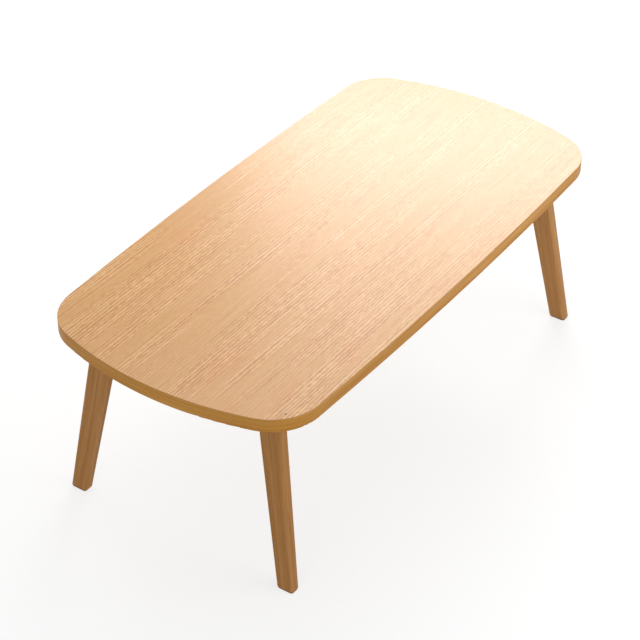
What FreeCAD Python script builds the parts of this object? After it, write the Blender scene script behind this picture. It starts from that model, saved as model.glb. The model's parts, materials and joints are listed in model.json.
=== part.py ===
"""Low folding table: a rounded wood-grain top on four splayed legs, each in a steel folding bracket.

Lengths are in millimetres and angles in degrees. X runs along the table, Y across it and Z up.
The origin is on the floor under the middle of the top.
"""
import FreeCAD, Part
import math
import os
import Sketcher

# Driving dimensions. Every other size and place is worked out from these.
SIZES = {
    # Whole table
    "table_length": 1200.0,
    "table_width": 600.0,
    "table_height": 430.0,
    "board_thickness": 30.0,
    "side_bow": 16.0,
    "end_bow": 67.0,
    "corner_radius": 106.0,
    # Layers of the top
    "top_laminate_thickness": 1.0,
    "backing_thickness": 0.8,
    "lipping_thickness": 12.0,
    "lipping_round": 2.5,
    "laminate_arris": 0.4,
    # Legs: centre line at the underside of the top and at the floor, from the table's ends and sides
    "leg_head_end_inset": 122.0,
    "leg_head_side_inset": 111.0,
    "leg_foot_end_inset": 79.0,
    "leg_foot_side_inset": 46.0,
    "leg_thickness": 24.0,
    "leg_head_width": 52.0,
    "leg_foot_width": 37.5,
    "leg_head_rise": 10.0,
    "leg_shoulder": 34.0,
    "leg_edge_round": 6.5,
    # Foot pads and their screws
    "pad_thickness": 3.0,
    "pad_inset": 1.2,
    "pad_screw_radius": 1.5,
    "pad_screw_head_radius": 3.0,
    "pad_screw_head_height": 1.4,
    "pad_screw_length": 16.0,
    "pad_screw_recess": 0.8,
    # Bracket bases, measured from the pivot
    "base_sheet": 2.0,
    "pivot_below_plate": 20.5,
    "plate_inner_reach": 28.0,
    "plate_outer_reach": 52.0,
    "plate_corner": 4.0,
    "cheek_boss_radius": 16.0,
    "cheek_outer_reach": 30.0,
    "cheek_toe": 9.0,
    "stop_flap_top": 11.0,
    "stop_flap_depth": 20.0,
    "stop_gap_half": 14.0,
    "end_wall_drop": 19.0,
    "end_wall_half_width": 9.0,
    # Saddles on the leg heads
    "saddle_sheet": 1.5,
    "saddle_depth": 22.0,
    "saddle_web_rise": 8.0,
    "saddle_lip": 9.0,
    "rim_radius": 16.5,
    # Notches in the saddle rims, seen at rest from the pivot
    "notch_near": 6.2,
    "notch_far": 9.6,
    "notch_floor": 11.5,
    # Pivots
    "pivot_radius": 4.0,
    "pivot_head_radius": 7.0,
    "pivot_head_height": 2.2,
    "sleeve_wall": 1.0,
    # Latch leaves
    "leaf_sheet": 1.0,
    "leaf_root_inner": 29.0,
    "leaf_root_outer": 40.0,
    "leaf_knee_x": 9.6,
    "leaf_knee_drop": 3.6,
    "leaf_nose_drop": 2.6,
    "leaf_tongue_drop": 15.0,
    "leaf_tongue_half_width": 7.0,
    "leaf_window_inner": 14.0,
    "leaf_rivet_radius": 1.6,
    "leaf_rivet_head_radius": 3.0,
    "leaf_rivet_head_height": 1.2,
    "leaf_rivet_half_spacing": 14.0,
    # Release buttons
    "button_drop": 11.5,
    "button_stem_radius": 3.0,
    "button_collar_radius": 4.2,
    "button_collar_length": 1.5,
    "button_head_radius": 7.0,
    "button_head_length": 5.0,
    "button_travel": 2.0,
    "button_dish": 1.2,
    # Wedge blocks between the top and the bracket bases
    "wedge_thin_edge": 2.0,
    # Screws through the bracket bases into the board
    "base_screw_radius": 2.0,
    "base_screw_head_radius": 4.0,
    "base_screw_head_height": 2.4,
    "base_screw_length": 22.0,
    "base_screw_inset": 6.0,
    "base_screw_half_spacing": 18.0,
    # Screws through the saddle webs into the legs
    "saddle_screw_radius": 1.75,
    "saddle_screw_head_radius": 3.2,
    "saddle_screw_head_height": 2.0,
    "saddle_screw_length": 16.0,
    "saddle_screw_half_spacing": 8.0,
    "saddle_screw_upper": 9.0,
    "saddle_screw_lower": 17.5,
    # Cross recesses in the screw heads, as shares of the head
    "recess_arm_share": 0.55,
    "recess_slot_share": 0.13,
    "recess_depth_share": 0.5,
    # Clearances and the overrun of cutting shapes
    "running_clearance": 0.3,
    "pin_clearance": 0.06,
    "screw_clearance": 0.25,
    "overrun": 5.0,
}

# Sizes that follow from the driving dimensions.
WORKED = {
    "half_length": "sizes.table_length / 2",
    "half_width": "sizes.table_width / 2",
    "side_radius": "(half_length ^ 2 + sizes.side_bow ^ 2) / (2 * sizes.side_bow)",
    "end_radius": "(half_width ^ 2 + sizes.end_bow ^ 2) / (2 * sizes.end_bow)",
    "side_rise": "side_radius - half_width",
    "end_rise": "end_radius - half_length",
    "underside": "sizes.table_height - sizes.board_thickness",
    "leg_head_x": "half_length - sizes.leg_head_end_inset",
    "leg_head_y": "half_width - sizes.leg_head_side_inset",
    "leg_foot_x": "half_length - sizes.leg_foot_end_inset",
    "leg_foot_y": "half_width - sizes.leg_foot_side_inset",
    "side_splay": "atan((leg_foot_y - leg_head_y) / underside)",
    "end_splay": "atan((leg_foot_x - leg_head_x) * cos(side_splay) / underside)",
    "leg_half": "sizes.leg_thickness / 2",
    "head_half": "sizes.leg_head_width / 2",
    "foot_half": "sizes.leg_foot_width / 2",
    "pad_corner": "sizes.leg_edge_round - sizes.pad_inset",
    "saddle_half": "head_half + sizes.saddle_sheet",
    "web_face": "leg_half + sizes.saddle_sheet",
    "cheek_inner": "saddle_half + sizes.running_clearance",
    "cheek_outer": "cheek_inner + sizes.base_sheet",
    "plate_top": "sizes.pivot_below_plate + sizes.base_sheet",
    "wedge_middle": "sizes.wedge_thin_edge + cheek_outer * tan(side_splay)",
    "pivot_depth": "plate_top + wedge_middle",
    "pivot_drop": "pivot_depth * cos(side_splay)",
    "leg_reach": "(underside - pivot_drop) / cos(side_splay) / cos(end_splay)",
    "flap_inner": "web_face + sizes.running_clearance",
    "flap_outer": "flap_inner + sizes.base_sheet",
    "leaf_half": "cheek_inner - sizes.running_clearance",
    "leaf_tip": "sizes.notch_near + sizes.running_clearance",
    "leaf_knee_top": "sizes.pivot_below_plate - sizes.leaf_knee_drop",
    "leaf_nose_top": "leaf_knee_top - sizes.leaf_nose_drop",
    "tongue_inner": "sizes.leaf_root_inner - sizes.leaf_sheet",
    "leaf_rivet_x": "(sizes.leaf_root_inner + sizes.leaf_root_outer) / 2",
    "pivot_bore": "sizes.pivot_radius + sizes.pin_clearance",
    "sleeve_radius": "pivot_bore + sizes.sleeve_wall",
    "button_height": "sizes.pivot_below_plate - sizes.button_drop",
    "button_tip": "sizes.leaf_root_inner + sizes.running_clearance",
    "end_wall_inner": "sizes.plate_outer_reach - sizes.base_sheet",
    "button_head_inner": "sizes.plate_outer_reach + sizes.button_travel + sizes.running_clearance",
}

CORNERS = {
    "left_front": (-1, -1),
    "right_front": (1, -1),
    "right_rear": (1, 1),
    "left_rear": (-1, 1),
}

# Distance below which two places count as the same.
touch = 1e-6

document = FreeCAD.newDocument("folding_table")
nodes = []


def add_sheets():
    """The sheet of driving dimensions and the sheet of sizes worked out from them."""
    sizes = document.addObject("Spreadsheet::Sheet", "sizes")
    for row, (name, number) in enumerate(SIZES.items(), start=1):
        sizes.set(f"A{row}", name)
        sizes.set(f"B{row}", str(number))
        sizes.setAlias(f"B{row}", name)
    worked = document.addObject("Spreadsheet::Sheet", "worked")
    for row, (name, formula) in enumerate(WORKED.items(), start=1):
        worked.set(f"A{row}", name)
        worked.set(f"B{row}", "=" + formula)
        worked.setAlias(f"B{row}", name)
    document.recompute()


def value(expression):
    """The number that an expression on the sheets gives."""
    number = document.sizes.evalExpression(str(expression))
    return float(getattr(number, "Value", number))


def vector(x, y, z):
    return FreeCAD.Vector(value(x), value(y), value(z))


def pivot_frame(corner):
    """Frame at a leg's pivot: X outwards along the table, Y along the pivot, Z square to the plate."""
    along, across = CORNERS[corner]
    splay = math.radians(value("worked.side_splay"))
    fall_share = value("worked.pivot_drop / worked.underside")
    origin = FreeCAD.Vector(
        along * (value("worked.leg_head_x") * (1 - fall_share) + value("worked.leg_foot_x") * fall_share),
        across * (value("worked.leg_head_y") * (1 - fall_share) + value("worked.leg_foot_y") * fall_share),
        value("worked.underside - worked.pivot_drop"))
    x_axis = FreeCAD.Vector(along, 0, 0)
    z_axis = FreeCAD.Vector(0, -across * math.sin(splay), math.cos(splay))
    y_axis = z_axis.cross(x_axis)
    return FreeCAD.Placement(origin, FreeCAD.Rotation(x_axis, y_axis, z_axis, "ZXY"))


def leg_frame(corner):
    """The pivot frame turned so that Z runs up the leg's centre line."""
    lean = FreeCAD.Rotation(FreeCAD.Vector(0, 1, 0), -value("worked.end_splay"))
    return pivot_frame(corner).multiply(FreeCAD.Placement(FreeCAD.Vector(), lean))


def foot_frame(corner):
    """Level frame at the middle of a foot, on the floor."""
    along, across = CORNERS[corner]
    return FreeCAD.Placement(
        FreeCAD.Vector(along * value("worked.leg_foot_x"), across * value("worked.leg_foot_y"), 0),
        FreeCAD.Rotation())


def hand(corner):
    """1 where the side splay tips the bracket's Y axis up, -1 where it tips it down."""
    along, across = CORNERS[corner]
    return along * across


def add_body(label, frame=None):
    body = document.addObject("PartDesign::Body", label)
    body.Label = label
    if frame is not None:
        body.Placement = frame
    return body


def keep(thing, label=None):
    """Mark an object as a piece of the table, under its own name."""
    if label is not None:
        thing.Label = label
    nodes.append(thing)


def add_sketch(body, plane, offset=None):
    """A sketch on one of the body's origin planes, moved and turned by an offset in that plane."""
    sketch = body.newObject("Sketcher::SketchObject", "sketch")
    support = [item for item in body.Origin.OriginFeatures if item.Role == plane + "_Plane"][0]
    sketch.AttachmentSupport = [(support, "")]
    sketch.MapMode = "FlatFace"
    if offset is not None:
        sketch.AttachmentOffset = offset
    return sketch


def shift(x="0", y="0", z="0", turn=0):
    """An offset in a sketch's own plane, turned about its normal."""
    return FreeCAD.Placement(vector(x, y, z), FreeCAD.Rotation(FreeCAD.Vector(0, 0, 1), turn))


def pin_point(sketch, geometry, point, where):
    """Hold a point of a sketch at two expressions measured from the sketch's origin."""
    for kind, axis, expression in (("DistanceX", -2, where[0]), ("DistanceY", -1, where[1])):
        number = value(expression)
        if number == 0:
            sketch.addConstraint(Sketcher.Constraint("PointOnObject", geometry, point, axis))
        elif number > 0:
            index = sketch.addConstraint(Sketcher.Constraint(kind, -1, 1, geometry, point, number))
            sketch.setExpression(f"Constraints[{index}]", str(expression))
        else:
            index = sketch.addConstraint(Sketcher.Constraint(kind, geometry, point, -1, 1, -number))
            sketch.setExpression(f"Constraints[{index}]", f"-({expression})")


def draw_polygon(sketch, corners):
    """A closed outline whose corners are pairs of expressions."""
    places = [vector(x, y, 0) for x, y in corners]
    count = len(places)
    first = sketch.GeometryCount
    for index in range(count):
        sketch.addGeometry(Part.LineSegment(places[index], places[(index + 1) % count]), False)
    for index in range(count):
        after = first + (index + 1) % count
        sketch.addConstraint(Sketcher.Constraint("Coincident", first + index, 2, after, 1))
    for index in range(count):
        pin_point(sketch, first + index, 1, corners[index])


def draw_rectangle(sketch, low_x, high_x, low_y, high_y):
    draw_polygon(sketch, [(low_x, low_y), (high_x, low_y), (high_x, high_y), (low_x, high_y)])


def draw_circle(sketch, radius, x="0", y="0"):
    circle = Part.Circle(vector(x, y, 0), FreeCAD.Vector(0, 0, 1), value(radius))
    geometry = sketch.addGeometry(circle, False)
    if value(x) == 0 and value(y) == 0:
        sketch.addConstraint(Sketcher.Constraint("Coincident", geometry, 3, -1, 1))
    else:
        pin_point(sketch, geometry, 3, (x, y))
    index = sketch.addConstraint(Sketcher.Constraint("Radius", geometry, value(radius)))
    sketch.setExpression(f"Constraints[{index}]", str(radius))


def add_pad(body, sketch, length, middle=False):
    pad = body.newObject("PartDesign::Pad", "pad")
    pad.Profile = sketch
    pad.setExpression("Length", length)
    pad.Midplane = middle
    document.recompute()


def add_pocket(body, sketch, length, middle=False, reverse=False):
    """Cut a sketch into a body. A pocket that removes nothing is an error."""
    before = body.Shape.Volume
    pocket = body.newObject("PartDesign::Pocket", "pocket")
    pocket.Profile = sketch
    pocket.setExpression("Length", length)
    pocket.Midplane = middle
    pocket.Reversed = reverse
    document.recompute()
    if not body.Shape.Volume < before:
        raise RuntimeError(f"a pocket of {body.Label} removes nothing")


def add_revolution(body, sketch, axis):
    turned = body.newObject("PartDesign::Revolution", "turned")
    turned.Profile = sketch
    turned.ReferenceAxis = (sketch, [axis])
    turned.Angle = 360
    document.recompute()


def round_edges(body, chosen, radius, kind="PartDesign::Fillet"):
    """Round or bevel the edges of a body that a test picks."""
    tip = body.Tip
    picked = [f"Edge{index}" for index, edge in enumerate(tip.Shape.Edges, start=1) if chosen(edge)]
    if not picked:
        raise RuntimeError(f"no edge of {body.Label} was picked")
    feature = body.newObject(kind, "edges")
    feature.Base = (tip, picked)
    feature.setExpression("Radius" if kind.endswith("Fillet") else "Size", radius)
    document.recompute()


def edge_is_upright(edge):
    """True for a straight edge along the body's own Z."""
    if len(edge.Vertexes) < 2:
        return False
    run = edge.Vertexes[1].Point - edge.Vertexes[0].Point
    return abs(run.z) > touch and math.hypot(run.x, run.y) < touch


def add_arc(sketch, centre, radius, start, finish):
    circle = Part.Circle(centre, FreeCAD.Vector(0, 0, 1), value(radius))
    geometry = sketch.addGeometry(Part.ArcOfCircle(circle, start, finish), False)
    index = sketch.addConstraint(Sketcher.Constraint("Radius", geometry, value(radius)))
    sketch.setExpression(f"Constraints[{index}]", radius)
    return geometry


def draw_table_outline(sketch, inset="0"):
    """The rounded outline of the top: four bowed edges joined by tangent corner arcs."""
    corner_x, corner_y = corner_arc_centre()
    turns = {"end": math.atan2(corner_y, corner_x + value("worked.end_rise")),
             "side": math.atan2(corner_x, corner_y + value("worked.side_rise"))}
    bows = (("end", "side", ("-worked.end_rise", "0"), (1, 1)),
            ("side", "end", ("0", "-worked.side_rise"), (-1, 1)),
            ("end", "side", ("worked.end_rise", "0"), (-1, -1)),
            ("side", "end", ("0", "worked.side_rise"), (1, -1)))
    arcs = []
    for quarter, (name, following, centre, (sign_x, sign_y)) in enumerate(bows):
        facing = quarter * math.pi / 2
        bow = add_arc(sketch, vector(*centre, "0"), f"worked.{name}_radius - {inset}",
                      facing - turns[name], facing + turns[name])
        pin_point(sketch, bow, 3, centre)
        corner = add_arc(sketch, FreeCAD.Vector(sign_x * corner_x, sign_y * corner_y, 0),
                         f"sizes.corner_radius - {inset}",
                         facing + turns[name], facing + math.pi / 2 - turns[following])
        arcs += [bow, corner]
    for before, after in zip(arcs, arcs[1:] + arcs[:1]):
        sketch.addConstraint(Sketcher.Constraint("Tangent", before, 2, after, 1))


def corner_arc_centre():
    """Centre of the corner arc that touches a side arc and an end arc from inside."""
    side_rise = value("worked.side_rise")
    end_rise = value("worked.end_rise")
    from_side = value("worked.side_radius - sizes.corner_radius")
    from_end = value("worked.end_radius - sizes.corner_radius")
    gap = math.hypot(end_rise, side_rise)
    along = (from_side ** 2 - from_end ** 2 + gap ** 2) / (2 * gap)
    off = math.sqrt(from_side ** 2 - along ** 2)
    step_x = -end_rise / gap
    step_y = side_rise / gap
    return (along * step_x + off * step_y, -side_rise + along * step_y - off * step_x)


def drill_board(body, depth):
    """The screw holes that the bracket bases need in one layer of the top."""
    for corner in CORNERS:
        frame = pivot_frame(corner)
        start = frame.multiply(FreeCAD.Placement(vector("0", "0", "worked.plate_top"), FreeCAD.Rotation()))
        sketch = add_sketch(body, "XY", start)
        for x, y in base_screw_places():
            draw_circle(sketch, "sizes.base_screw_radius", x, y)
        add_pocket(body, sketch, depth, reverse=True)


def build_top():
    """The core board, its lipping, the wood-grain laminate above and the backing below."""
    core = add_body("core_board")
    sketch = add_sketch(core, "XY", shift(z="worked.underside + sizes.backing_thickness"))
    draw_table_outline(sketch, "sizes.lipping_thickness")
    add_pad(core, sketch, "sizes.board_thickness - sizes.top_laminate_thickness - sizes.backing_thickness")
    drill_board(core, "sizes.base_screw_length - sizes.base_sheet")
    keep(core)

    backing = add_body("backing_laminate")
    sketch = add_sketch(backing, "XY", shift(z="worked.underside"))
    draw_table_outline(sketch, "sizes.lipping_thickness")
    add_pad(backing, sketch, "sizes.backing_thickness")
    drill_board(backing, "sizes.base_screw_length - sizes.base_sheet")
    keep(backing)

    lipping = add_body("edge_lipping")
    sketch = add_sketch(lipping, "XY", shift(z="worked.underside"))
    draw_table_outline(sketch)
    draw_table_outline(sketch, "sizes.lipping_thickness")
    add_pad(lipping, sketch, "sizes.board_thickness - sizes.top_laminate_thickness")
    underside = value("worked.underside")
    outer_radii = [value(name) for name in (
        "sizes.corner_radius", "worked.end_radius", "worked.side_radius")]

    def outer_bottom_edge(edge):
        """True for the arcs of the outer outline at the underside."""
        heights = (edge.BoundBox.ZMin, edge.BoundBox.ZMax)
        return all(abs(height - underside) < touch for height in heights) and any(
            abs(edge.Curve.Radius - radius) < touch for radius in outer_radii)

    round_edges(lipping, outer_bottom_edge, "sizes.lipping_round")
    keep(lipping)

    laminate = add_body("top_laminate")
    sketch = add_sketch(laminate, "XY", shift(z="sizes.table_height - sizes.top_laminate_thickness"))
    draw_table_outline(sketch)
    add_pad(laminate, sketch, "sizes.top_laminate_thickness")
    top = value("sizes.table_height")
    round_edges(laminate, lambda edge: edge.BoundBox.ZMin > top - touch, "sizes.laminate_arris",
                "PartDesign::Chamfer")
    keep(laminate)


def base_screw_places():
    """The four screws of a bracket base, in its plate's plane."""
    inner = "-(sizes.plate_inner_reach - sizes.base_screw_inset)"
    outer = "sizes.plate_outer_reach - sizes.base_screw_inset"
    spread = "sizes.base_screw_half_spacing"
    return [(x, y) for x in (inner, outer) for y in (spread, f"-{spread}")]


def tilted(x, z):
    """A point given along the leg, as expressions in the pivot frame."""
    lean = "worked.end_splay"
    return (f"({x}) * cos({lean}) - ({z}) * sin({lean})", f"({x}) * sin({lean}) + ({z}) * cos({lean})")


def build_wedge(corner):
    """Wedge block that tips the bracket base to the side splay of the leg."""
    wedge = add_body(corner + "_wedge_block", pivot_frame(corner))
    sketch = add_sketch(wedge, "YZ", shift(z="-sizes.plate_inner_reach"))
    slope = f"{hand(corner)} * worked.cheek_outer * tan(worked.side_splay)"
    draw_polygon(sketch, [
        ("-worked.cheek_outer", "worked.plate_top"), ("worked.cheek_outer", "worked.plate_top"),
        ("worked.cheek_outer", f"worked.pivot_depth - {slope}"),
        ("-worked.cheek_outer", f"worked.pivot_depth + {slope}")])
    add_pad(wedge, sketch, "sizes.plate_inner_reach + sizes.plate_outer_reach")
    sketch = add_sketch(wedge, "XY", shift(z="worked.plate_top - sizes.overrun"))
    for x, y in base_screw_places():
        draw_circle(sketch, "sizes.base_screw_radius + sizes.screw_clearance", x, y)
    add_pocket(wedge, sketch, "2 * (worked.wedge_middle + sizes.overrun)", reverse=True)
    keep(wedge)


def build_base(corner):
    """Pressed steel base: a plate, two cheeks that hold the pivot, stop flaps and a button wall."""
    base = add_body(corner + "_bracket_base", pivot_frame(corner))
    sketch = add_sketch(base, "XZ")
    draw_polygon(sketch, [
        ("-sizes.cheek_boss_radius", "worked.plate_top"), ("-sizes.cheek_boss_radius", "0"),
        tilted("sizes.cheek_toe", "-sizes.stop_flap_depth"),
        tilted("worked.flap_outer", "-sizes.stop_flap_depth"),
        tilted("worked.flap_outer", "-sizes.stop_flap_top"),
        ("sizes.cheek_outer_reach", "sizes.pivot_below_plate"),
        ("sizes.cheek_outer_reach", "worked.plate_top")])
    add_pad(base, sketch, "2 * worked.cheek_outer", middle=True)
    sketch = add_sketch(base, "XZ")
    draw_circle(sketch, "sizes.cheek_boss_radius")
    add_pad(base, sketch, "2 * worked.cheek_outer", middle=True)
    sketch = add_sketch(base, "XZ")
    draw_rectangle(
        sketch, "-(sizes.cheek_boss_radius + sizes.overrun)", "sizes.plate_outer_reach",
        "-(sizes.stop_flap_depth + sizes.overrun)", "sizes.pivot_below_plate")
    add_pocket(base, sketch, "2 * worked.cheek_inner", middle=True)

    sketch = add_sketch(base, "XY", shift(z="sizes.pivot_below_plate"))
    draw_rectangle(sketch, "-sizes.plate_inner_reach", "sizes.plate_outer_reach",
                   "-worked.cheek_outer", "worked.cheek_outer")
    add_pad(base, sketch, "sizes.base_sheet")
    reach = min(value("sizes.plate_inner_reach"), value("sizes.plate_outer_reach"))
    round_edges(base, lambda edge: edge_is_upright(edge) and abs(edge.Vertexes[0].X) > reach - touch,
                "sizes.plate_corner")

    sketch = add_sketch(base, "XZ")
    draw_polygon(sketch, [
        tilted("worked.flap_inner", "-sizes.stop_flap_depth"),
        tilted("worked.flap_outer", "-sizes.stop_flap_depth"),
        tilted("worked.flap_outer", "-sizes.stop_flap_top"),
        tilted("worked.flap_inner", "-sizes.stop_flap_top")])
    add_pad(base, sketch, "2 * worked.cheek_outer", middle=True)
    sketch = add_sketch(base, "XZ")
    draw_rectangle(
        sketch, "worked.leg_half", "worked.flap_outer + sizes.overrun",
        "-(sizes.stop_flap_depth + sizes.overrun)", "sizes.overrun")
    add_pocket(base, sketch, "2 * sizes.stop_gap_half", middle=True)

    sketch = add_sketch(base, "XY", shift(z="sizes.pivot_below_plate - sizes.end_wall_drop"))
    draw_rectangle(sketch, "worked.end_wall_inner", "sizes.plate_outer_reach",
                   "-sizes.end_wall_half_width", "sizes.end_wall_half_width")
    add_pad(base, sketch, "sizes.end_wall_drop")
    sketch = add_sketch(base, "YZ", shift(z="worked.end_wall_inner - sizes.overrun"))
    draw_circle(sketch, "sizes.button_stem_radius + sizes.pin_clearance", "0", "worked.button_height")
    add_pocket(base, sketch, "sizes.base_sheet + 2 * sizes.overrun", reverse=True)

    sketch = add_sketch(base, "XY", shift(z="sizes.pivot_below_plate"))
    for x, y in base_screw_places():
        draw_circle(sketch, "sizes.base_screw_radius + sizes.screw_clearance", x, y)
    for side in ("", "-"):
        draw_circle(sketch, "sizes.leaf_rivet_radius", "worked.leaf_rivet_x",
                    side + "sizes.leaf_rivet_half_spacing")
    add_pocket(base, sketch, "2 * sizes.base_sheet", middle=True)
    sketch = add_sketch(base, "XZ")
    draw_circle(sketch, "worked.pivot_bore")
    add_pocket(base, sketch, "2 * (worked.cheek_outer + sizes.overrun)", middle=True)
    keep(base)


def build_latch_leaf(corner):
    """Spring-steel leaf: a riveted root, a sprung arm whose nose drops in the rim, and a tongue."""
    leaf = add_body(corner + "_latch_leaf", pivot_frame(corner))
    top = "sizes.pivot_below_plate"
    sheet = "sizes.leaf_sheet"
    sketch = add_sketch(leaf, "XZ")
    draw_polygon(sketch, [
        ("sizes.leaf_root_outer", top), ("sizes.leaf_root_inner", top),
        ("sizes.leaf_knee_x", "worked.leaf_knee_top"), ("worked.leaf_tip", "worked.leaf_nose_top"),
        ("worked.leaf_tip", f"worked.leaf_nose_top - {sheet}"),
        ("sizes.leaf_knee_x", f"worked.leaf_knee_top - {sheet}"),
        ("sizes.leaf_root_inner", f"{top} - {sheet}"), ("sizes.leaf_root_outer", f"{top} - {sheet}")])
    add_pad(leaf, sketch, "2 * worked.leaf_half", middle=True)
    sketch = add_sketch(leaf, "XY")
    draw_rectangle(sketch, "sizes.leaf_window_inner", "worked.tongue_inner",
                   "-sizes.leaf_tongue_half_width", "sizes.leaf_tongue_half_width")
    add_pocket(leaf, sketch, "2 * worked.plate_top", middle=True)
    sketch = add_sketch(leaf, "XZ")
    draw_rectangle(sketch, "worked.tongue_inner", "sizes.leaf_root_inner",
                   f"{top} - sizes.leaf_tongue_drop", f"{top} - {sheet}")
    add_pad(leaf, sketch, "2 * sizes.leaf_tongue_half_width", middle=True)
    sketch = add_sketch(leaf, "XY", shift(z=top))
    for side in ("", "-"):
        draw_circle(sketch, "sizes.leaf_rivet_radius", "worked.leaf_rivet_x",
                    side + "sizes.leaf_rivet_half_spacing")
    add_pocket(leaf, sketch, "2 * sizes.leaf_sheet")
    keep(leaf)


def build_button(corner):
    """Push button whose stem runs in the end wall and bears on the leaf's tongue."""
    button = add_body(corner + "_release_button", pivot_frame(corner))
    sketch = add_sketch(button, "XZ", shift(y="worked.button_height"))
    stem = "sizes.button_stem_radius"
    collar = "sizes.button_collar_radius"
    collar_end = "worked.end_wall_inner - sizes.running_clearance"
    collar_start = f"{collar_end} - sizes.button_collar_length"
    head = "sizes.button_head_radius"
    head_end = "worked.button_head_inner + sizes.button_head_length"
    draw_polygon(sketch, [
        ("worked.button_tip", "0"), (f"{head_end} - sizes.button_dish", "0"),
        (head_end, f"{head} - 2 * sizes.button_dish"), (head_end, f"{head} - sizes.button_dish"),
        (f"{head_end} - sizes.button_dish", head), ("worked.button_head_inner", head),
        ("worked.button_head_inner", stem), (collar_end, stem), (collar_end, collar),
        (collar_start, collar), (collar_start, stem), ("worked.button_tip", stem)])
    add_revolution(button, sketch, "H_Axis")
    keep(button)


def build_pivot(corner):
    """Rivet through the cheeks, the saddle and the leg, with a domed head at each end."""
    rivet = add_body(corner + "_pivot_rivet", pivot_frame(corner))
    sketch = add_sketch(rivet, "YZ")
    shank = "sizes.pivot_radius"
    head = "sizes.pivot_head_radius"
    face = "worked.cheek_outer"
    crown = f"{face} + sizes.pivot_head_height"
    dome = f"{head} - sizes.pivot_head_height"
    draw_polygon(sketch, [
        (f"-({crown})", "0"), (crown, "0"), (crown, dome), (face, head), (face, shank),
        (f"-{face}", shank), (f"-{face}", head), (f"-({crown})", dome)])
    add_revolution(rivet, sketch, "H_Axis")
    keep(rivet)


def build_leg(corner):
    """Solid wood leg: square head in the saddle, then tapered in width to a level foot."""
    frame = leg_frame(corner)
    leg = add_body(corner + "_leg", frame)
    sketch = add_sketch(leg, "YZ")
    draw_polygon(sketch, [
        ("worked.head_half", "sizes.leg_head_rise"), ("-worked.head_half", "sizes.leg_head_rise"),
        ("-worked.head_half", "-sizes.leg_shoulder"), ("-worked.foot_half", "-worked.leg_reach"),
        ("-worked.foot_half", "-(worked.leg_reach + sizes.leg_foot_width)"),
        ("worked.foot_half", "-(worked.leg_reach + sizes.leg_foot_width)"),
        ("worked.foot_half", "-worked.leg_reach"), ("worked.head_half", "-sizes.leg_shoulder")])
    add_pad(leg, sketch, "sizes.leg_thickness", middle=True)
    half = value("worked.leg_half")

    def long_edge(edge):
        """True for the edges that run down the leg."""
        start, finish = (vertex.Point for vertex in edge.Vertexes)
        return abs(abs(start.x) - half) < touch and abs(start.x - finish.x) < touch and (
            abs(start.z - finish.z) > abs(start.y - finish.y))

    round_edges(leg, long_edge, "sizes.leg_edge_round")
    level = frame.inverse().multiply(foot_frame(corner))
    sketch = add_sketch(leg, "XY", level.multiply(shift(z="sizes.pad_thickness")))
    draw_rectangle(sketch, *(["-sizes.leg_head_width", "sizes.leg_head_width"] * 2))
    add_pocket(leg, sketch, "2 * sizes.leg_head_width")
    screw_seat = "sizes.pad_screw_recess + sizes.pad_screw_head_height"
    sketch = add_sketch(leg, "XY", level.multiply(shift(z=screw_seat)))
    draw_circle(sketch, "sizes.pad_screw_radius")
    add_pocket(leg, sketch, "sizes.pad_screw_length", reverse=True)
    sketch = add_sketch(leg, "XZ")
    draw_circle(sketch, "worked.sleeve_radius")
    add_pocket(leg, sketch, "2 * sizes.leg_head_width", middle=True)
    sketch = add_sketch(leg, "YZ", shift(z="worked.web_face"))
    for y, z in saddle_screw_places():
        draw_circle(sketch, "sizes.saddle_screw_radius", y, z)
    add_pocket(leg, sketch, "sizes.saddle_screw_length")
    keep(leg)


def saddle_screw_places():
    """The four screws through a saddle's web, across the leg and down it."""
    spread = "sizes.saddle_screw_half_spacing"
    return [(y, f"-sizes.{row}") for row in ("saddle_screw_upper", "saddle_screw_lower")
            for y in (spread, f"-{spread}")]


def build_saddle(corner):
    """Channel-shaped steel saddle round the leg head, with a notched rim on each side."""
    saddle = add_body(corner + "_leg_saddle", leg_frame(corner))
    sketch = add_sketch(saddle, "XZ")
    draw_rectangle(sketch, "-sizes.saddle_lip", "worked.web_face", "-sizes.saddle_depth",
                   "sizes.saddle_web_rise")
    add_pad(saddle, sketch, "2 * worked.saddle_half", middle=True)
    sketch = add_sketch(saddle, "XZ")
    draw_circle(sketch, "sizes.rim_radius")
    add_pad(saddle, sketch, "2 * worked.saddle_half", middle=True)
    sketch = add_sketch(saddle, "XZ")
    draw_rectangle(sketch, "-(sizes.rim_radius + sizes.overrun)", "worked.leg_half",
                   "-(sizes.saddle_depth + sizes.overrun)", "sizes.rim_radius + sizes.overrun")
    add_pocket(saddle, sketch, "2 * worked.head_half", middle=True)
    sketch = add_sketch(saddle, "XZ")
    draw_rectangle(sketch, "worked.web_face", "sizes.rim_radius + sizes.overrun",
                   "-(sizes.rim_radius + sizes.overrun)", "sizes.rim_radius + sizes.overrun")
    add_pocket(saddle, sketch, "2 * worked.head_half", middle=True)
    for turn in (-value("worked.end_splay"), 90):
        sketch = add_sketch(saddle, "XZ", shift(turn=turn))
        draw_rectangle(sketch, "sizes.notch_near", "sizes.notch_far", "sizes.notch_floor",
                       "sizes.rim_radius + sizes.overrun")
        add_pocket(saddle, sketch, "2 * (worked.saddle_half + sizes.overrun)", middle=True)
    sketch = add_sketch(saddle, "XZ")
    draw_circle(sketch, "worked.pivot_bore")
    add_pocket(saddle, sketch, "2 * (worked.saddle_half + sizes.overrun)", middle=True)
    sketch = add_sketch(saddle, "YZ", shift(z="worked.web_face"))
    for y, z in saddle_screw_places():
        draw_circle(sketch, "sizes.saddle_screw_radius + sizes.screw_clearance", y, z)
    add_pocket(saddle, sketch, "2 * sizes.saddle_sheet")
    keep(saddle)


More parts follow.
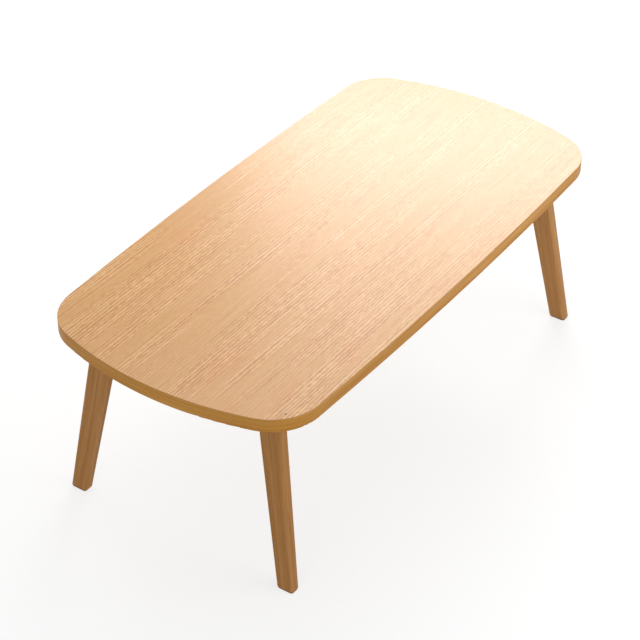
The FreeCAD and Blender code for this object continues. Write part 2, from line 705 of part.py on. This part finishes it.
def build_sleeve(corner):
    """Steel sleeve that lines the leg head round the pivot."""
    sleeve = add_body(corner + "_pivot_sleeve", leg_frame(corner))
    sketch = add_sketch(sleeve, "XZ")
    draw_circle(sketch, "worked.sleeve_radius")
    draw_circle(sketch, "worked.pivot_bore")
    add_pad(sleeve, sketch, "2 * worked.head_half", middle=True)
    keep(sleeve)


def build_foot_pad(corner):
    """Glide under the foot, level with the floor, with a sunk hole for its screw."""
    pad = add_body(corner + "_foot_pad", foot_frame(corner))
    sketch = add_sketch(pad, "XY")
    half_x = "worked.leg_half - sizes.pad_inset"
    half_y = "worked.foot_half - sizes.pad_inset"
    draw_rectangle(sketch, f"-({half_x})", half_x, f"-({half_y})", half_y)
    add_pad(pad, sketch, "sizes.pad_thickness")
    round_edges(pad, edge_is_upright, "worked.pad_corner")
    sketch = add_sketch(pad, "XY")
    draw_circle(sketch, "sizes.pad_screw_head_radius")
    add_pocket(pad, sketch, "sizes.pad_screw_recess + sizes.pad_screw_head_height", reverse=True)
    sketch = add_sketch(pad, "XY")
    draw_circle(sketch, "sizes.pad_screw_radius")
    add_pocket(pad, sketch, "2 * sizes.pad_thickness", reverse=True)
    keep(pad)


def build_screw(label, frame, kind):
    """Pan-head screw along its own Z: the head below zero, the shank above, a cross recess below."""
    screw = add_body(label, frame)
    radius = f"sizes.{kind}_radius"
    head = f"sizes.{kind}_head_radius"
    height = f"sizes.{kind}_head_height"
    length = f"sizes.{kind}_length"
    sketch = add_sketch(screw, "XZ")
    draw_polygon(sketch, [
        ("0", f"-{height}"), (f"{head} - {height} / 2", f"-{height}"), (head, f"-{height} / 2"),
        (head, "0"), (radius, "0"), (radius, f"{length} - {radius}"), ("0", length)])
    add_revolution(screw, sketch, "V_Axis")
    arm = f"{head} * sizes.recess_arm_share"
    slot = f"{head} * sizes.recess_slot_share"
    sketch = add_sketch(screw, "XY", shift(z=f"-{height}"))
    draw_polygon(sketch, [
        (arm, slot), (slot, slot), (slot, arm), (f"-{slot}", arm), (f"-{slot}", slot), (f"-{arm}", slot),
        (f"-{arm}", f"-{slot}"), (f"-{slot}", f"-{slot}"), (f"-{slot}", f"-{arm}"), (slot, f"-{arm}"),
        (slot, f"-{slot}"), (arm, f"-{slot}")])
    add_pocket(screw, sketch, f"{height} * sizes.recess_depth_share", reverse=True)
    return screw


def group(label, pieces):
    """Identical fasteners kept together under one name."""
    compound = document.addObject("Part::Compound", label)
    compound.Links = pieces
    document.recompute()
    keep(compound, label)


def build_base_screws():
    screws = []
    for corner in CORNERS:
        for number, (x, y) in enumerate(base_screw_places(), start=1):
            place = FreeCAD.Placement(vector(x, y, "sizes.pivot_below_plate"), FreeCAD.Rotation())
            screws.append(build_screw(f"{corner}_base_screw_{number}",
                                      pivot_frame(corner).multiply(place), "base_screw"))
    group("bracket_screws", screws)


def build_leaf_rivets():
    """Rivets that hold the latch leaves, flush with the top of the plates."""
    rivets = []
    for corner in CORNERS:
        for side in ("", "-"):
            place = vector("worked.leaf_rivet_x", side + "sizes.leaf_rivet_half_spacing",
                           "sizes.pivot_below_plate - sizes.leaf_sheet")
            frame = pivot_frame(corner).multiply(FreeCAD.Placement(place, FreeCAD.Rotation()))
            rivet = add_body(f"{corner}_leaf_rivet", frame)
            sketch = add_sketch(rivet, "XZ")
            head = "sizes.leaf_rivet_head_radius"
            height = "sizes.leaf_rivet_head_height"
            reach = "sizes.leaf_sheet + sizes.base_sheet"
            draw_polygon(sketch, [
                ("0", f"-{height}"), (f"{head} - {height}", f"-{height}"), (head, "0"),
                ("sizes.leaf_rivet_radius", "0"), ("sizes.leaf_rivet_radius", reach), ("0", reach)])
            add_revolution(rivet, sketch, "V_Axis")
            rivets.append(rivet)
    group("leaf_rivets", rivets)


def build_saddle_screws(corner):
    inward = FreeCAD.Rotation(FreeCAD.Vector(0, 1, 0), -90)
    screws = []
    for number, (y, z) in enumerate(saddle_screw_places(), start=1):
        place = FreeCAD.Placement(vector("worked.web_face", y, z), inward)
        screws.append(build_screw(f"{corner}_saddle_screw_{number}",
                                  leg_frame(corner).multiply(place), "saddle_screw"))
    group(corner + "_saddle_screws", screws)


def build_pad_screw(corner):
    """Screw of a foot pad, its head sunk in the pad."""
    place = FreeCAD.Placement(
        vector("0", "0", "sizes.pad_screw_recess + sizes.pad_screw_head_height"), FreeCAD.Rotation())
    keep(build_screw(corner + "_pad_screw", foot_frame(corner).multiply(place), "pad_screw"))


def check_document():
    """Stop if any object failed or any piece is not a sound solid."""
    document.recompute()
    for thing in document.Objects:
        if {"Invalid", "Error"} & set(thing.State):
            raise RuntimeError(f"{thing.Label} failed: {thing.State}")
    for node in nodes:
        if node.Shape.isNull() or not node.Shape.isValid() or not node.Shape.Solids:
            raise RuntimeError(f"{node.Label} is not a sound solid")


def write_parts():
    os.makedirs("parts", exist_ok=True)
    for node in nodes:
        node.Shape.exportStep(os.path.join("parts", node.Label + ".step"))
        print(node.Label, len(node.Shape.Solids), round(node.Shape.Volume, 1))


add_sheets()
build_top()
for corner_name in CORNERS:
    build_wedge(corner_name)
    build_base(corner_name)
    build_latch_leaf(corner_name)
    build_button(corner_name)
    build_pivot(corner_name)
    build_leg(corner_name)
    build_saddle(corner_name)
    build_sleeve(corner_name)
    build_saddle_screws(corner_name)
    build_foot_pad(corner_name)
    build_pad_screw(corner_name)
build_base_screws()
build_leaf_rivets()
check_document()
write_parts()
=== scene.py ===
"""Looks of the folding coffee table, in metres, in the frame of its solids.

X runs along the table, Y across it and Z up. The origin is on the floor under the middle of the top.
"""
import json
import math

import bmesh
import bpy
from mathutils import Matrix, Vector


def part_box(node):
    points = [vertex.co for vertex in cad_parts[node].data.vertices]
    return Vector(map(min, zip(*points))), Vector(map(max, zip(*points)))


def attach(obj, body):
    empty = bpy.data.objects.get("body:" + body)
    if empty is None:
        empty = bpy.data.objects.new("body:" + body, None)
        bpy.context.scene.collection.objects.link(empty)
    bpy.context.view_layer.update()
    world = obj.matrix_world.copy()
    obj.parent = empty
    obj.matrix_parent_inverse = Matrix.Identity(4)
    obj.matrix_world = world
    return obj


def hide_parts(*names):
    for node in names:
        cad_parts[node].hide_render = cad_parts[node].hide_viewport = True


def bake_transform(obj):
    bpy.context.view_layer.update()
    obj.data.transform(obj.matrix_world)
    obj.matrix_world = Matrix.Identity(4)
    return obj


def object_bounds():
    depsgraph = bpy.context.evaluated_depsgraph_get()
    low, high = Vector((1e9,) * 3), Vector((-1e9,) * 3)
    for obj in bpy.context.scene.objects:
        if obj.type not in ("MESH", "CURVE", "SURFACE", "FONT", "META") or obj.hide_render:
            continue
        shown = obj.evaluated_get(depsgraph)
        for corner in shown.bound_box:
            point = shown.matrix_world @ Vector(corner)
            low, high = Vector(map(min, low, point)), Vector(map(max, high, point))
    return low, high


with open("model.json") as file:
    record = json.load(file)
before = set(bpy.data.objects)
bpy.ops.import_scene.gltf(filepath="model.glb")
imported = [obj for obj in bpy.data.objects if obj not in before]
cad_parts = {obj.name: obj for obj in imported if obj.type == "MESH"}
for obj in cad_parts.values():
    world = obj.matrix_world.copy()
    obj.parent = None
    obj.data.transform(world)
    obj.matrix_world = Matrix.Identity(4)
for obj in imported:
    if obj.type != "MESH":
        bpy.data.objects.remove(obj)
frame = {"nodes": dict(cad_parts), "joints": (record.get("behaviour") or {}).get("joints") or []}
cad_low, cad_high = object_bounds()

CORNERS = ("left_front", "right_front", "right_rear", "left_rear")
MILLIMETRE = 0.001
# Places nearer to each other than this count as one
HAIR = MILLIMETRE / 100

# Camera: it looks at a point in the plane of the tabletop. Angles in degrees, focal length in pixels.
IMAGE_PIXELS = 640
SENSOR_WIDTH = 36.0
CAMERA_AZIMUTH = -55.23
CAMERA_ELEVATION = 37.09
CAMERA_ROLL = -0.01
CAMERA_DISTANCE = 3.818
CAMERA_TARGET = (-0.2629, -0.1491)
CAMERA_FOCAL_PIXELS = 2035.6

# Lamps: where each stands, where it points, its width, its height and its power in watts
LAMPS = {
    "key_lamp": ((0.30, -1.66, 1.00), (0.10, -0.10, 0.42), 1.4, 1.4, 10.8),
    "window_lamp": ((2.00, 0.90, 1.60), (0.20, 0.0, 0.43), 1.35, 0.4, 23.8),
    "ceiling_lamp": ((0.25, 0.40, 1.75), (0.15, 0.24, 0.43), 1.6, 1.2, 9.8),
    "fill_lamp": ((-4.00, -1.00, 0.75), (0.0, 0.0, 0.25), 1.6, 1.0, 23.0),
}
WORLD_STRENGTH = 0.45

# The floor's size, and how pale it is to the light that it throws back at the table
FLOOR_SIZE = 60.0
FLOOR_BOUNCE = 0.70
# The floor as it is seen: how much it glows near the table and far away, where it changes, and how much its
# shadows darken it. The glow makes up for the lamps, whose light ends a few metres from the table.
FLOOR_GLOW = (0.73, 0.87)
FLOOR_GLOW_REACH = (0.9, 2.4)
FLOOR_SHADE = 0.32

# The laminate's print: the distance between its lines in millimetres, how many such distances they wander,
# how strongly its waves, short streaks and long threads show, and the level that centres their sum
LINE_PITCH = 7.0
LINE_WANDER = 3.2
WAVE_WEIGHT = 0.36
STREAK_WEIGHT = 1.90
THREAD_WEIGHT = 1.10
MIDDLE_LEVEL = -1.50
# The print grows plainer towards the far end: from where to where in metres, and what is left of it there
PRINT_FADE_REACH = (-0.45, 0.30)
PRINT_FADE = (1.0, 0.42)
# A dark speck in the print near a corner: its place and radius in millimetres, and how much longer than wide
SPECK_PLACE = (-524.0, -256.5)
SPECK_RADIUS = 2.2
SPECK_STRETCH = 1.6

# How much lighter or darker each leg's wood is, as a shift along its colour ramp: small differences in tone,
# and on the right front leg mostly painted light, which lightens its wood against the shade under the table
LEG_TONES_AND_PAINTED_LIGHT = {"left_front": -0.01, "right_front": 0.09, "right_rear": 0.03, "left_rear": 0.01}
# How far apart in the noise the woods of two legs are taken
LEG_SHIFT = 3.7

# The latch leaf's tongue: how far under the leaf's top it begins, in millimetres, and in how many bands its
# mesh is cut, from its tip up to there, so that it can bend.
TONGUE_DROP = 1.2
TONGUE_BANDS = 14


def grey(level):
    """A colour without hue."""
    return (level, level, level, 1.0)


def colour(code):
    """Linear colour of an sRGB code such as D9AE7E."""
    levels = [int(code[index:index + 2], 16) / 255 for index in (0, 2, 4)]
    return tuple(c / 12.92 if c <= 0.04045 else ((c + 0.055) / 1.055) ** 2.4 for c in levels) + (1.0,)


def plug(tree, socket, given):
    """Set a socket to a value, or link the output of another node to it."""
    if isinstance(given, bpy.types.NodeSocket):
        tree.links.new(given, socket)
    else:
        socket.default_value = given


def add(tree, kind, inputs=None, **settings):
    """A node with settings and inputs. An input is a value or the output of another node."""
    item = tree.nodes.new(kind)
    for name, setting in settings.items():
        setattr(item, name, setting)
    for name, given in (inputs or {}).items():
        plug(tree, item.inputs[name], given)
    return item


def empty_tree(owner):
    """The node tree of a material or a world, with nothing in it."""
    owner.use_nodes = True
    owner.node_tree.nodes.clear()
    return owner.node_tree


def object_place(tree):
    """The position in metres in the object's own frame."""
    return add(tree, "ShaderNodeTexCoord").outputs["Object"]


def new_material(name):
    """A material with nothing but its shader, and the position on the piece that wears it."""
    material = bpy.data.materials.new(name)
    tree = empty_tree(material)
    shader = add(tree, "ShaderNodeBsdfPrincipled")
    add(tree, "ShaderNodeOutputMaterial", {"Surface": shader.outputs[0]})
    return material, tree, shader, object_place(tree)


def noise(tree, place, scale, detail=2.0, roughness=0.5, shift=(0.0, 0.0, 0.0)):
    """Noise whose scale is given per axis, in cells per metre."""
    mapped = add(tree, "ShaderNodeMapping", {"Vector": place, "Scale": scale, "Location": shift})
    return add(tree, "ShaderNodeTexNoise", {
        "Vector": mapped.outputs[0], "Scale": 1.0, "Detail": detail, "Roughness": roughness}).outputs[0]


def spread(tree, given, low, high, to_low, to_high):
    """Smooth step from to_low to to_high while the given value goes from low to high."""
    return add(tree, "ShaderNodeMapRange", {
        "Value": given, "From Min": low, "From Max": high, "To Min": to_low, "To Max": to_high},
        interpolation_type="SMOOTHSTEP").outputs[0]


def sums(tree, operation, *terms):
    """A sum, product or other operation on numbers or outputs of other nodes."""
    item = add(tree, "ShaderNodeMath", operation=operation)
    for socket, given in zip(item.inputs, terms):
        plug(tree, socket, given)
    return item.outputs[0]


def shared(tree, first, share, second):
    """Two patterns added up, the first by its share and the second by the rest."""
    return sums(tree, "ADD", sums(tree, "MULTIPLY", first, share), sums(tree, "MULTIPLY", second, 1 - share))


def length_of(tree, vector):
    """How long a vector is."""
    return add(tree, "ShaderNodeVectorMath", {0: vector}, operation="LENGTH").outputs["Value"]


def mixed(tree, factor, first, second, blend="MIX"):
    """Two colours mixed by a factor, through the node's sockets for colours."""
    item = add(tree, "ShaderNodeMix", {0: factor, 6: first, 7: second}, data_type="RGBA", blend_type=blend)
    return item.outputs[2]


def ramp(tree, factor, stops):
    """Colour ramp through stops of (position, sRGB code)."""
    item = add(tree, "ShaderNodeValToRGB", {"Fac": factor})
    elements = item.color_ramp.elements
    stops = [(position, colour(code)) for position, code in stops]
    elements[0].position, elements[0].color = stops[0]
    elements[1].position, elements[1].color = stops[-1]
    for position, shade in stops[1:-1]:
        elements.new(position).color = shade
    return item.outputs[0]


def bump(tree, shader, height, distance, strength):
    """Relief of the given height map, in metres."""
    item = add(tree, "ShaderNodeBump", {"Height": height, "Distance": distance, "Strength": strength})
    tree.links.new(item.outputs[0], shader.inputs["Normal"])


def finish_with(tree, shader, base, roughness, **constants):
    """Link the colour and the roughness of a shader, and set its constants."""
    tree.links.new(base, shader.inputs["Base Color"])
    tree.links.new(roughness, shader.inputs["Roughness"])
    for name, given in constants.items():
        shader.inputs[name.replace("_", " ")].default_value = given


def print_lines(tree, place, streaks):
    """The laminate's lines, in bundles: a level around 0.5, calmer towards the far end of the table."""
    along, across, _ = add(tree, "ShaderNodeSeparateXYZ", {0: place}).outputs
    drift = noise(tree, place, (0.8, 20.0, 1.0), detail=1.0)
    phase = sums(tree, "ADD", sums(tree, "DIVIDE", across, LINE_PITCH * MILLIMETRE),
                 sums(tree, "MULTIPLY", drift, LINE_WANDER))
    wave = sums(tree, "SINE", sums(tree, "MULTIPLY", phase, 2 * math.pi))
    threads = noise(tree, place, (6.0, 210.0, 1.0), detail=1.0, shift=(1.0, 4.0, 0.0))
    relief = sums(tree, "MULTIPLY_ADD", threads, THREAD_WEIGHT, MIDDLE_LEVEL)
    relief = sums(tree, "MULTIPLY_ADD", streaks, STREAK_WEIGHT, relief)
    relief = sums(tree, "MULTIPLY_ADD", wave, WAVE_WEIGHT, relief)
    bundles = noise(tree, place, (2.4, 33.0, 1.0), shift=(9.0, 6.0, 0.0))
    bundles = spread(tree, bundles, 0.42, 0.56, 0.27, 0.96)
    bundles = sums(tree, "MULTIPLY", bundles, spread(tree, along, *PRINT_FADE_REACH, *PRINT_FADE))
    return sums(tree, "MULTIPLY_ADD", relief, bundles, 0.5)


def speck_mask(tree, place):
    """How dark the one small speck in the print is."""
    radii = [SPECK_RADIUS * MILLIMETRE * SPECK_STRETCH, SPECK_RADIUS * MILLIMETRE]
    shift = [-coordinate * MILLIMETRE / radius for coordinate, radius in zip(SPECK_PLACE, radii)]
    centred = add(tree, "ShaderNodeMapping", {
        "Vector": place, "Location": (*shift, 0.0), "Scale": (1 / radii[0], 1 / radii[1], 0.0)}).outputs[0]
    return spread(tree, length_of(tree, centred), 0.4, 1.4, 0.75, 0.0)


def laminate_material():
    """Satin wood-grain sheet, darker at its cut edge: straight fine lines along it on a plain ground."""
    material, tree, shader, place = new_material("wood_grain_laminate")
    streaks = noise(tree, place, (90.0, 380.0, 1.0), shift=(3.0, 7.0, 0.0))
    lines = print_lines(tree, place, streaks)
    grain = ramp(tree, lines, [(0.0, "BA772D"), (0.5, "CF9755"), (1.0, "E4B37E")])
    mottle = noise(tree, place, (6.0, 20.0, 1.0), detail=3.0, roughness=0.6)
    tint = ramp(tree, mottle, [(0.30, "FFF6EA"), (0.46, "FFFFFF"), (0.58, "FCFCEE"), (0.74, "FFFDFC")])
    ground = mixed(tree, 1.0, grain, tint, "MULTIPLY")
    pores = spread(tree, noise(tree, place, (34.0, 1300.0, 1.0), detail=1.0), 0.62, 0.80, 0.0, 0.18)
    base = mixed(tree, sums(tree, "MAXIMUM", pores, speck_mask(tree, place)), ground, colour("5A2C0C"))
    normal = add(tree, "ShaderNodeTexCoord").outputs["Normal"]
    upward = add(tree, "ShaderNodeSeparateXYZ", {0: normal}).outputs[2]
    base = mixed(tree, spread(tree, upward, 0.35, 0.75, 1.0, 0.0), base, colour("9C6B38"))
    roughness = spread(tree, streaks, 0.3, 0.7, 0.38, 0.33)
    finish_with(tree, shader, base, roughness, IOR=1.5, Coat_Weight=0.3, Coat_Roughness=0.31, Coat_IOR=1.5)
    bump(tree, shader, lines, 0.00006, 0.5)
    return material


def edge_material():
    """Lacquered wood edging, its grain level all round the top."""
    material, tree, shader, place = new_material("edge_wood")
    fine = noise(tree, place, (7.0, 7.0, 420.0))
    wide = noise(tree, place, (2.2, 2.2, 60.0), shift=(4.0, 1.0, 0.0))
    grain = shared(tree, fine, 0.55, wide)
    base = ramp(tree, grain, [(0.30, "B17630"), (0.47, "C1873B"), (0.60, "CB9448"), (0.78, "D5A258")])
    roughness = spread(tree, grain, 0.3, 0.7, 0.50, 0.40)
    finish_with(tree, shader, base, roughness, IOR=1.45, Specular_IOR_Level=0.14)
    bump(tree, shader, fine, 0.00010, 0.5)
    return material


def fold_joint(corner):
    """The joint by which a leg folds."""
    return next(joint for joint in frame["joints"] if joint["name"] == corner + "_leg_fold")


def leg_place(tree, place, corner):
    """Position in a leg's own frame: Z along the leg."""
    pivot = Vector(fold_joint(corner)["pos_m"])
    low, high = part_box(corner + "_foot_pad")
    along = (pivot - (low + high) / 2).normalized()
    side = Vector((0.0, 1.0, 0.0)) - along * along.y
    side.normalize()
    turn = Matrix((side.cross(along), side, along))
    return add(tree, "ShaderNodeMapping", {
        "Vector": place, "Rotation": turn.to_euler(), "Location": -(turn @ pivot)}).outputs[0]


def leg_material(corner):
    """Lacquered solid wood with straight grain along the leg."""
    material, tree, shader, place = new_material(corner + "_leg_wood")
    place = leg_place(tree, place, corner)
    start = LEG_SHIFT * CORNERS.index(corner)
    drift = noise(tree, place, (9.0, 9.0, 2.6), detail=1.0, shift=(start, 0.0, 0.0))
    offset = add(tree, "ShaderNodeCombineXYZ", {
        "X": sums(tree, "MULTIPLY", drift, 0.010), "Y": sums(tree, "MULTIPLY", drift, 0.012)}).outputs[0]
    bent = add(tree, "ShaderNodeVectorMath", {0: place, 1: offset}, operation="ADD").outputs[0]
    rings = noise(tree, bent, (95.0, 150.0, 2.4), shift=(start, 2.0, 0.0))
    fine = noise(tree, bent, (520.0, 620.0, 16.0), shift=(0.0, start, 0.0))
    pores = spread(tree, noise(tree, bent, (900.0, 1100.0, 45.0), detail=1.0, shift=(start, 5.0, 0.0)),
                   0.66, 0.78, 0.0, 0.35)
    grain = shared(tree, rings, 0.6, fine)
    # The shift is partly tone and, on the right front leg, painted light that lightens the wood against the
    # shade under the table
    base = ramp(tree, sums(tree, "ADD", grain, LEG_TONES_AND_PAINTED_LIGHT[corner]), [
        (0.30, "9F6C3B"), (0.45, "AE7A43"), (0.56, "B8844E"), (0.74, "C3915D")])
    base = mixed(tree, pores, base, colour("7A5230"))
    roughness = spread(tree, grain, 0.3, 0.7, 0.52, 0.42)
    finish_with(tree, shader, base, roughness, IOR=1.45, Specular_IOR_Level=0.14)
    bump(tree, shader, sums(tree, "SUBTRACT", fine, pores), 0.00012, 0.5)
    return material


def fibreboard_material():
    """Raw pressed board: short pale and dark fibres."""
    material, tree, shader, place = new_material("fibreboard")
    fibres = noise(tree, place, (700.0, 900.0, 1400.0), detail=4.0, roughness=0.7)
    cloud = noise(tree, place, (30.0, 30.0, 60.0))
    grain = shared(tree, fibres, 0.7, cloud)
    base = ramp(tree, grain, [(0.3, "9C7B57"), (0.5, "B8966D"), (0.7, "CFB28A")])
    roughness = spread(tree, fibres, 0.3, 0.7, 0.92, 0.78)
    finish_with(tree, shader, base, roughness, IOR=1.4)
    bump(tree, shader, fibres, 0.00020, 0.6)
    return material


def backing_material():
    """Matt balancing sheet under the top: pale, with a faint printed grain."""
    material, tree, shader, place = new_material("backing_sheet")
    streaks = noise(tree, place, (6.0, 160.0, 1.0), detail=3.0)
    cloud = noise(tree, place, (3.0, 9.0, 1.0), shift=(5.0, 3.0, 0.0))
    pebble = noise(tree, place, (1500.0, 1500.0, 1500.0), detail=1.0)
    grain = shared(tree, streaks, 0.6, cloud)
    base = ramp(tree, grain, [(0.3, "CFB48E"), (0.52, "DDC5A1"), (0.72, "E7D3B3")])
    roughness = spread(tree, pebble, 0.3, 0.7, 0.66, 0.56)
    finish_with(tree, shader, base, roughness, IOR=1.48)
    bump(tree, shader, pebble, 0.00005, 0.5)
    return material


def metal_material(name, light, dark, smooth, rough, cell, dents):
    """Metal with a mottled finish: two shades, two roughnesses, cells per metre and relief in metres."""
    material, tree, shader, place = new_material(name)
    mottle = noise(tree, place, (cell, cell, cell), detail=3.0, roughness=0.6)
    scratch = noise(tree, place, (cell * 0.6, cell * 9.0, cell * 9.0), shift=(2.0, 6.0, 1.0))
    tone = shared(tree, mottle, 0.65, scratch)
    base = ramp(tree, tone, [(0.32, dark), (0.66, light)])
    roughness = spread(tree, tone, 0.3, 0.7, rough, smooth)
    finish_with(tree, shader, base, roughness, Metallic=1.0)
    bump(tree, shader, tone, dents, 0.5)
    return material


def moulded_material(name, light, dark, smooth, rough, cell, dents):
    """Moulded plastic or rubber with a fine pebbled skin. Its shades and numbers are as for a metal."""
    material, tree, shader, place = new_material(name)
    pebble = noise(tree, place, (cell, cell, cell))
    cloud = noise(tree, place, (cell / 12, cell / 12, cell / 12), shift=(1.0, 4.0, 2.0))
    base = ramp(tree, shared(tree, pebble, 0.6, cloud), [(0.3, dark), (0.7, light)])
    roughness = spread(tree, pebble, 0.3, 0.7, rough, smooth)
    finish_with(tree, shader, base, roughness, IOR=1.5)
    bump(tree, shader, pebble, dents, 0.6)
    return material


def dress(material, *nodes):
    """Give nodes of the frame their material."""
    for node in nodes:
        mesh = frame["nodes"][node].data
        mesh.materials.clear()
        mesh.materials.append(material)


def dress_frame():
    """The materials of all the nodes."""
    zinc_plate = metal_material("zinc_plate", "C9CBCE", "B3B5B9", 0.32, 0.44, 160.0, 0.00003)
    zinc_screw = metal_material("zinc_screw", "DDDEE0", "BFC1C6", 0.22, 0.36, 420.0, 0.00002)
    spring_steel = metal_material("spring_steel", "6E7480", "43484F", 0.26, 0.40, 220.0, 0.00002)
    button = moulded_material("button_plastic", "2B2B2D", "1B1B1C", 0.42, 0.55, 2600.0, 0.00004)
    pad = moulded_material("foot_pad", "4A3B30", "2E241D", 0.80, 0.95, 1800.0, 0.00012)
    board = fibreboard_material()
    dress(laminate_material(), "top_laminate")
    dress(edge_material(), "edge_lipping")
    dress(board, "core_board")
    dress(backing_material(), "backing_laminate")
    dress(zinc_screw, "bracket_screws", "leaf_rivets")
    for corner in CORNERS:
        dress(leg_material(corner), corner + "_leg")
        dress(board, corner + "_wedge_block")
        dress(pad, corner + "_foot_pad")
        dress(button, corner + "_release_button")
        dress(spring_steel, corner + "_latch_leaf")
        dress(zinc_plate, corner + "_bracket_base", corner + "_leg_saddle", corner + "_pivot_sleeve")
        dress(zinc_screw, corner + "_pivot_rivet", corner + "_saddle_screws", corner + "_pad_screw")


def build_leaf(corner):
    """The latch leaf in two pieces, so that its tongue can give way to the release button."""
    joint = fold_joint(corner)
    pivot = Vector(joint["pos_m"])
    across = Vector(joint["axis"])
    outward = Vector((math.copysign(1.0, pivot.x), 0.0, 0.0))
    up = outward.cross(across)
    node = frame["nodes"][corner + "_latch_leaf"]
    places = [vertex.co - pivot for vertex in node.data.vertices]
    tip = min(place.dot(up) for place in places)
    root = max(place.dot(up) for place in places) - TONGUE_DROP * MILLIMETRE
    lowest = [place for place in places if place.dot(up) < tip + MILLIMETRE]
    half_width = max(abs(place.dot(across)) for place in lowest) + HAIR
    inner = min(place.dot(outward) for place in lowest) - HAIR
    heights = [tip + (root - tip) * (band / TONGUE_BANDS) for band in range(1, TONGUE_BANDS + 1)]

    def on_tongue(face):
        middle = face.calc_center_median() - pivot
        return middle.dot(up) < root and middle.dot(outward) > inner and abs(middle.dot(across)) < half_width

    for name, is_tongue in (("tongue", True), ("arm", False)):
        mesh = bpy.data.meshes.new(f"{corner}_leaf_{name}")
        work = bmesh.new()
        work.from_mesh(node.data)
        bmesh.ops.remove_doubles(work, verts=work.verts, dist=HAIR)
        for height in heights if is_tongue else heights[-1:]:
            bmesh.ops.bisect_plane(work, geom=work.verts[:] + work.edges[:] + work.faces[:],
                                   plane_co=pivot + up * height, plane_no=up)
        unwanted = [face for face in work.faces if on_tongue(face) != is_tongue]
        bmesh.ops.delete(work, geom=unwanted, context="FACES")
        bmesh.ops.holes_fill(work, edges=[edge for edge in work.edges if edge.is_boundary])
        bmesh.ops.recalc_face_normals(work, faces=work.faces)
        work.to_mesh(mesh)
        work.free()
        mesh.materials.append(node.data.materials[0])
        piece = bpy.data.objects.new(f"{corner}_leaf_{name}", mesh)
        bpy.context.scene.collection.objects.link(piece)
        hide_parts(node.name)
        if is_tongue:
            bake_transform(piece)
        else:
            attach(piece, "tabletop")


def seen_ray(tree):
    """1 for rays from the camera and for mirrored or transmitted ones, 0 for light that spreads."""
    rays = add(tree, "ShaderNodeLightPath").outputs
    seen = sums(tree, "MAXIMUM", rays["Is Camera Ray"], rays["Is Glossy Ray"])
    return sums(tree, "MAXIMUM", seen, rays["Is Transmission Ray"])


def add_floor():
    """A plain pale floor. Seen by the camera or in a reflection it is white, with the table's shadow."""
    mesh = bpy.data.meshes.new("floor")
    half = FLOOR_SIZE / 2
    corners = [(-half, -half, 0), (half, -half, 0), (half, half, 0), (-half, half, 0)]
    mesh.from_pydata(corners, [], [(0, 1, 2, 3)])
    floor = bpy.data.objects.new("floor", mesh)
    bpy.context.scene.collection.objects.link(floor)
    material = bpy.data.materials.new("floor")
    tree = empty_tree(material)
    bounce = add(tree, "ShaderNodeBsdfDiffuse", {"Color": grey(FLOOR_BOUNCE)}).outputs[0]
    shade = add(tree, "ShaderNodeBsdfDiffuse", {"Color": grey(FLOOR_SHADE)}).outputs[0]
    away = length_of(tree, object_place(tree))
    strength = spread(tree, away, *FLOOR_GLOW_REACH, *FLOOR_GLOW)
    glow = add(tree, "ShaderNodeEmission", {"Strength": strength}).outputs[0]
    seen = add(tree, "ShaderNodeAddShader", {0: shade, 1: glow}).outputs[0]
    shown = add(tree, "ShaderNodeMixShader", {0: seen_ray(tree), 1: bounce, 2: seen}).outputs[0]
    add(tree, "ShaderNodeOutputMaterial", {"Surface": shown})
    mesh.materials.append(material)


def add_world():
    """White where it is seen, and softer where it lights the table."""
    world = bpy.data.worlds.new("studio")
    bpy.context.scene.world = world
    tree = empty_tree(world)
    soft = add(tree, "ShaderNodeBackground", {"Color": grey(1.0), "Strength": WORLD_STRENGTH}).outputs[0]
    white = add(tree, "ShaderNodeBackground", {"Color": grey(1.0), "Strength": 1.0}).outputs[0]
    shown = add(tree, "ShaderNodeMixShader", {0: seen_ray(tree), 1: soft, 2: white}).outputs[0]
    add(tree, "ShaderNodeOutputWorld", {"Surface": shown})


def add_lamps():
    """Wide soft lamps that the camera doesn't see."""
    for name, (place, target, width, height, power) in LAMPS.items():
        light = bpy.data.lights.new(name, "AREA")
        light.shape = "RECTANGLE"
        light.size = width
        light.size_y = height
        light.energy = power
        lamp = bpy.data.objects.new(name, light)
        lamp.location = place
        lamp.rotation_euler = (Vector(target) - Vector(place)).to_track_quat("-Z", "Y").to_euler()
        lamp.visible_camera = False
        bpy.context.scene.collection.objects.link(lamp)


def add_camera():
    """The camera at the photograph's angle."""
    angles = (CAMERA_AZIMUTH, CAMERA_ELEVATION, CAMERA_ROLL)
    azimuth, elevation, roll = (math.radians(angle) for angle in angles)
    back = Vector((math.sin(azimuth) * math.cos(elevation), -math.cos(azimuth) * math.cos(elevation),
                   math.sin(elevation)))
    right = Vector((0.0, 0.0, 1.0)).cross(back).normalized()
    above = back.cross(right)
    right, above = (right * math.cos(roll) + above * math.sin(roll),
                    above * math.cos(roll) - right * math.sin(roll))
    place = Vector(CAMERA_TARGET + (cad_high.z,)) + back * CAMERA_DISTANCE
    data = bpy.data.cameras.new("camera")
    data.sensor_width = SENSOR_WIDTH
    data.lens = SENSOR_WIDTH * CAMERA_FOCAL_PIXELS / IMAGE_PIXELS
    camera = bpy.data.objects.new("camera", data)
    turn = Matrix((right, above, back)).transposed().to_4x4()
    camera.matrix_world = Matrix.Translation(place) @ turn
    bpy.context.scene.collection.objects.link(camera)
    bpy.context.scene.camera = camera


bpy.context.scene.view_settings.view_transform = "Standard"
dress_frame()
for corner_name in CORNERS:
    build_leaf(corner_name)
add_floor()
add_world()
add_lamps()
add_camera()
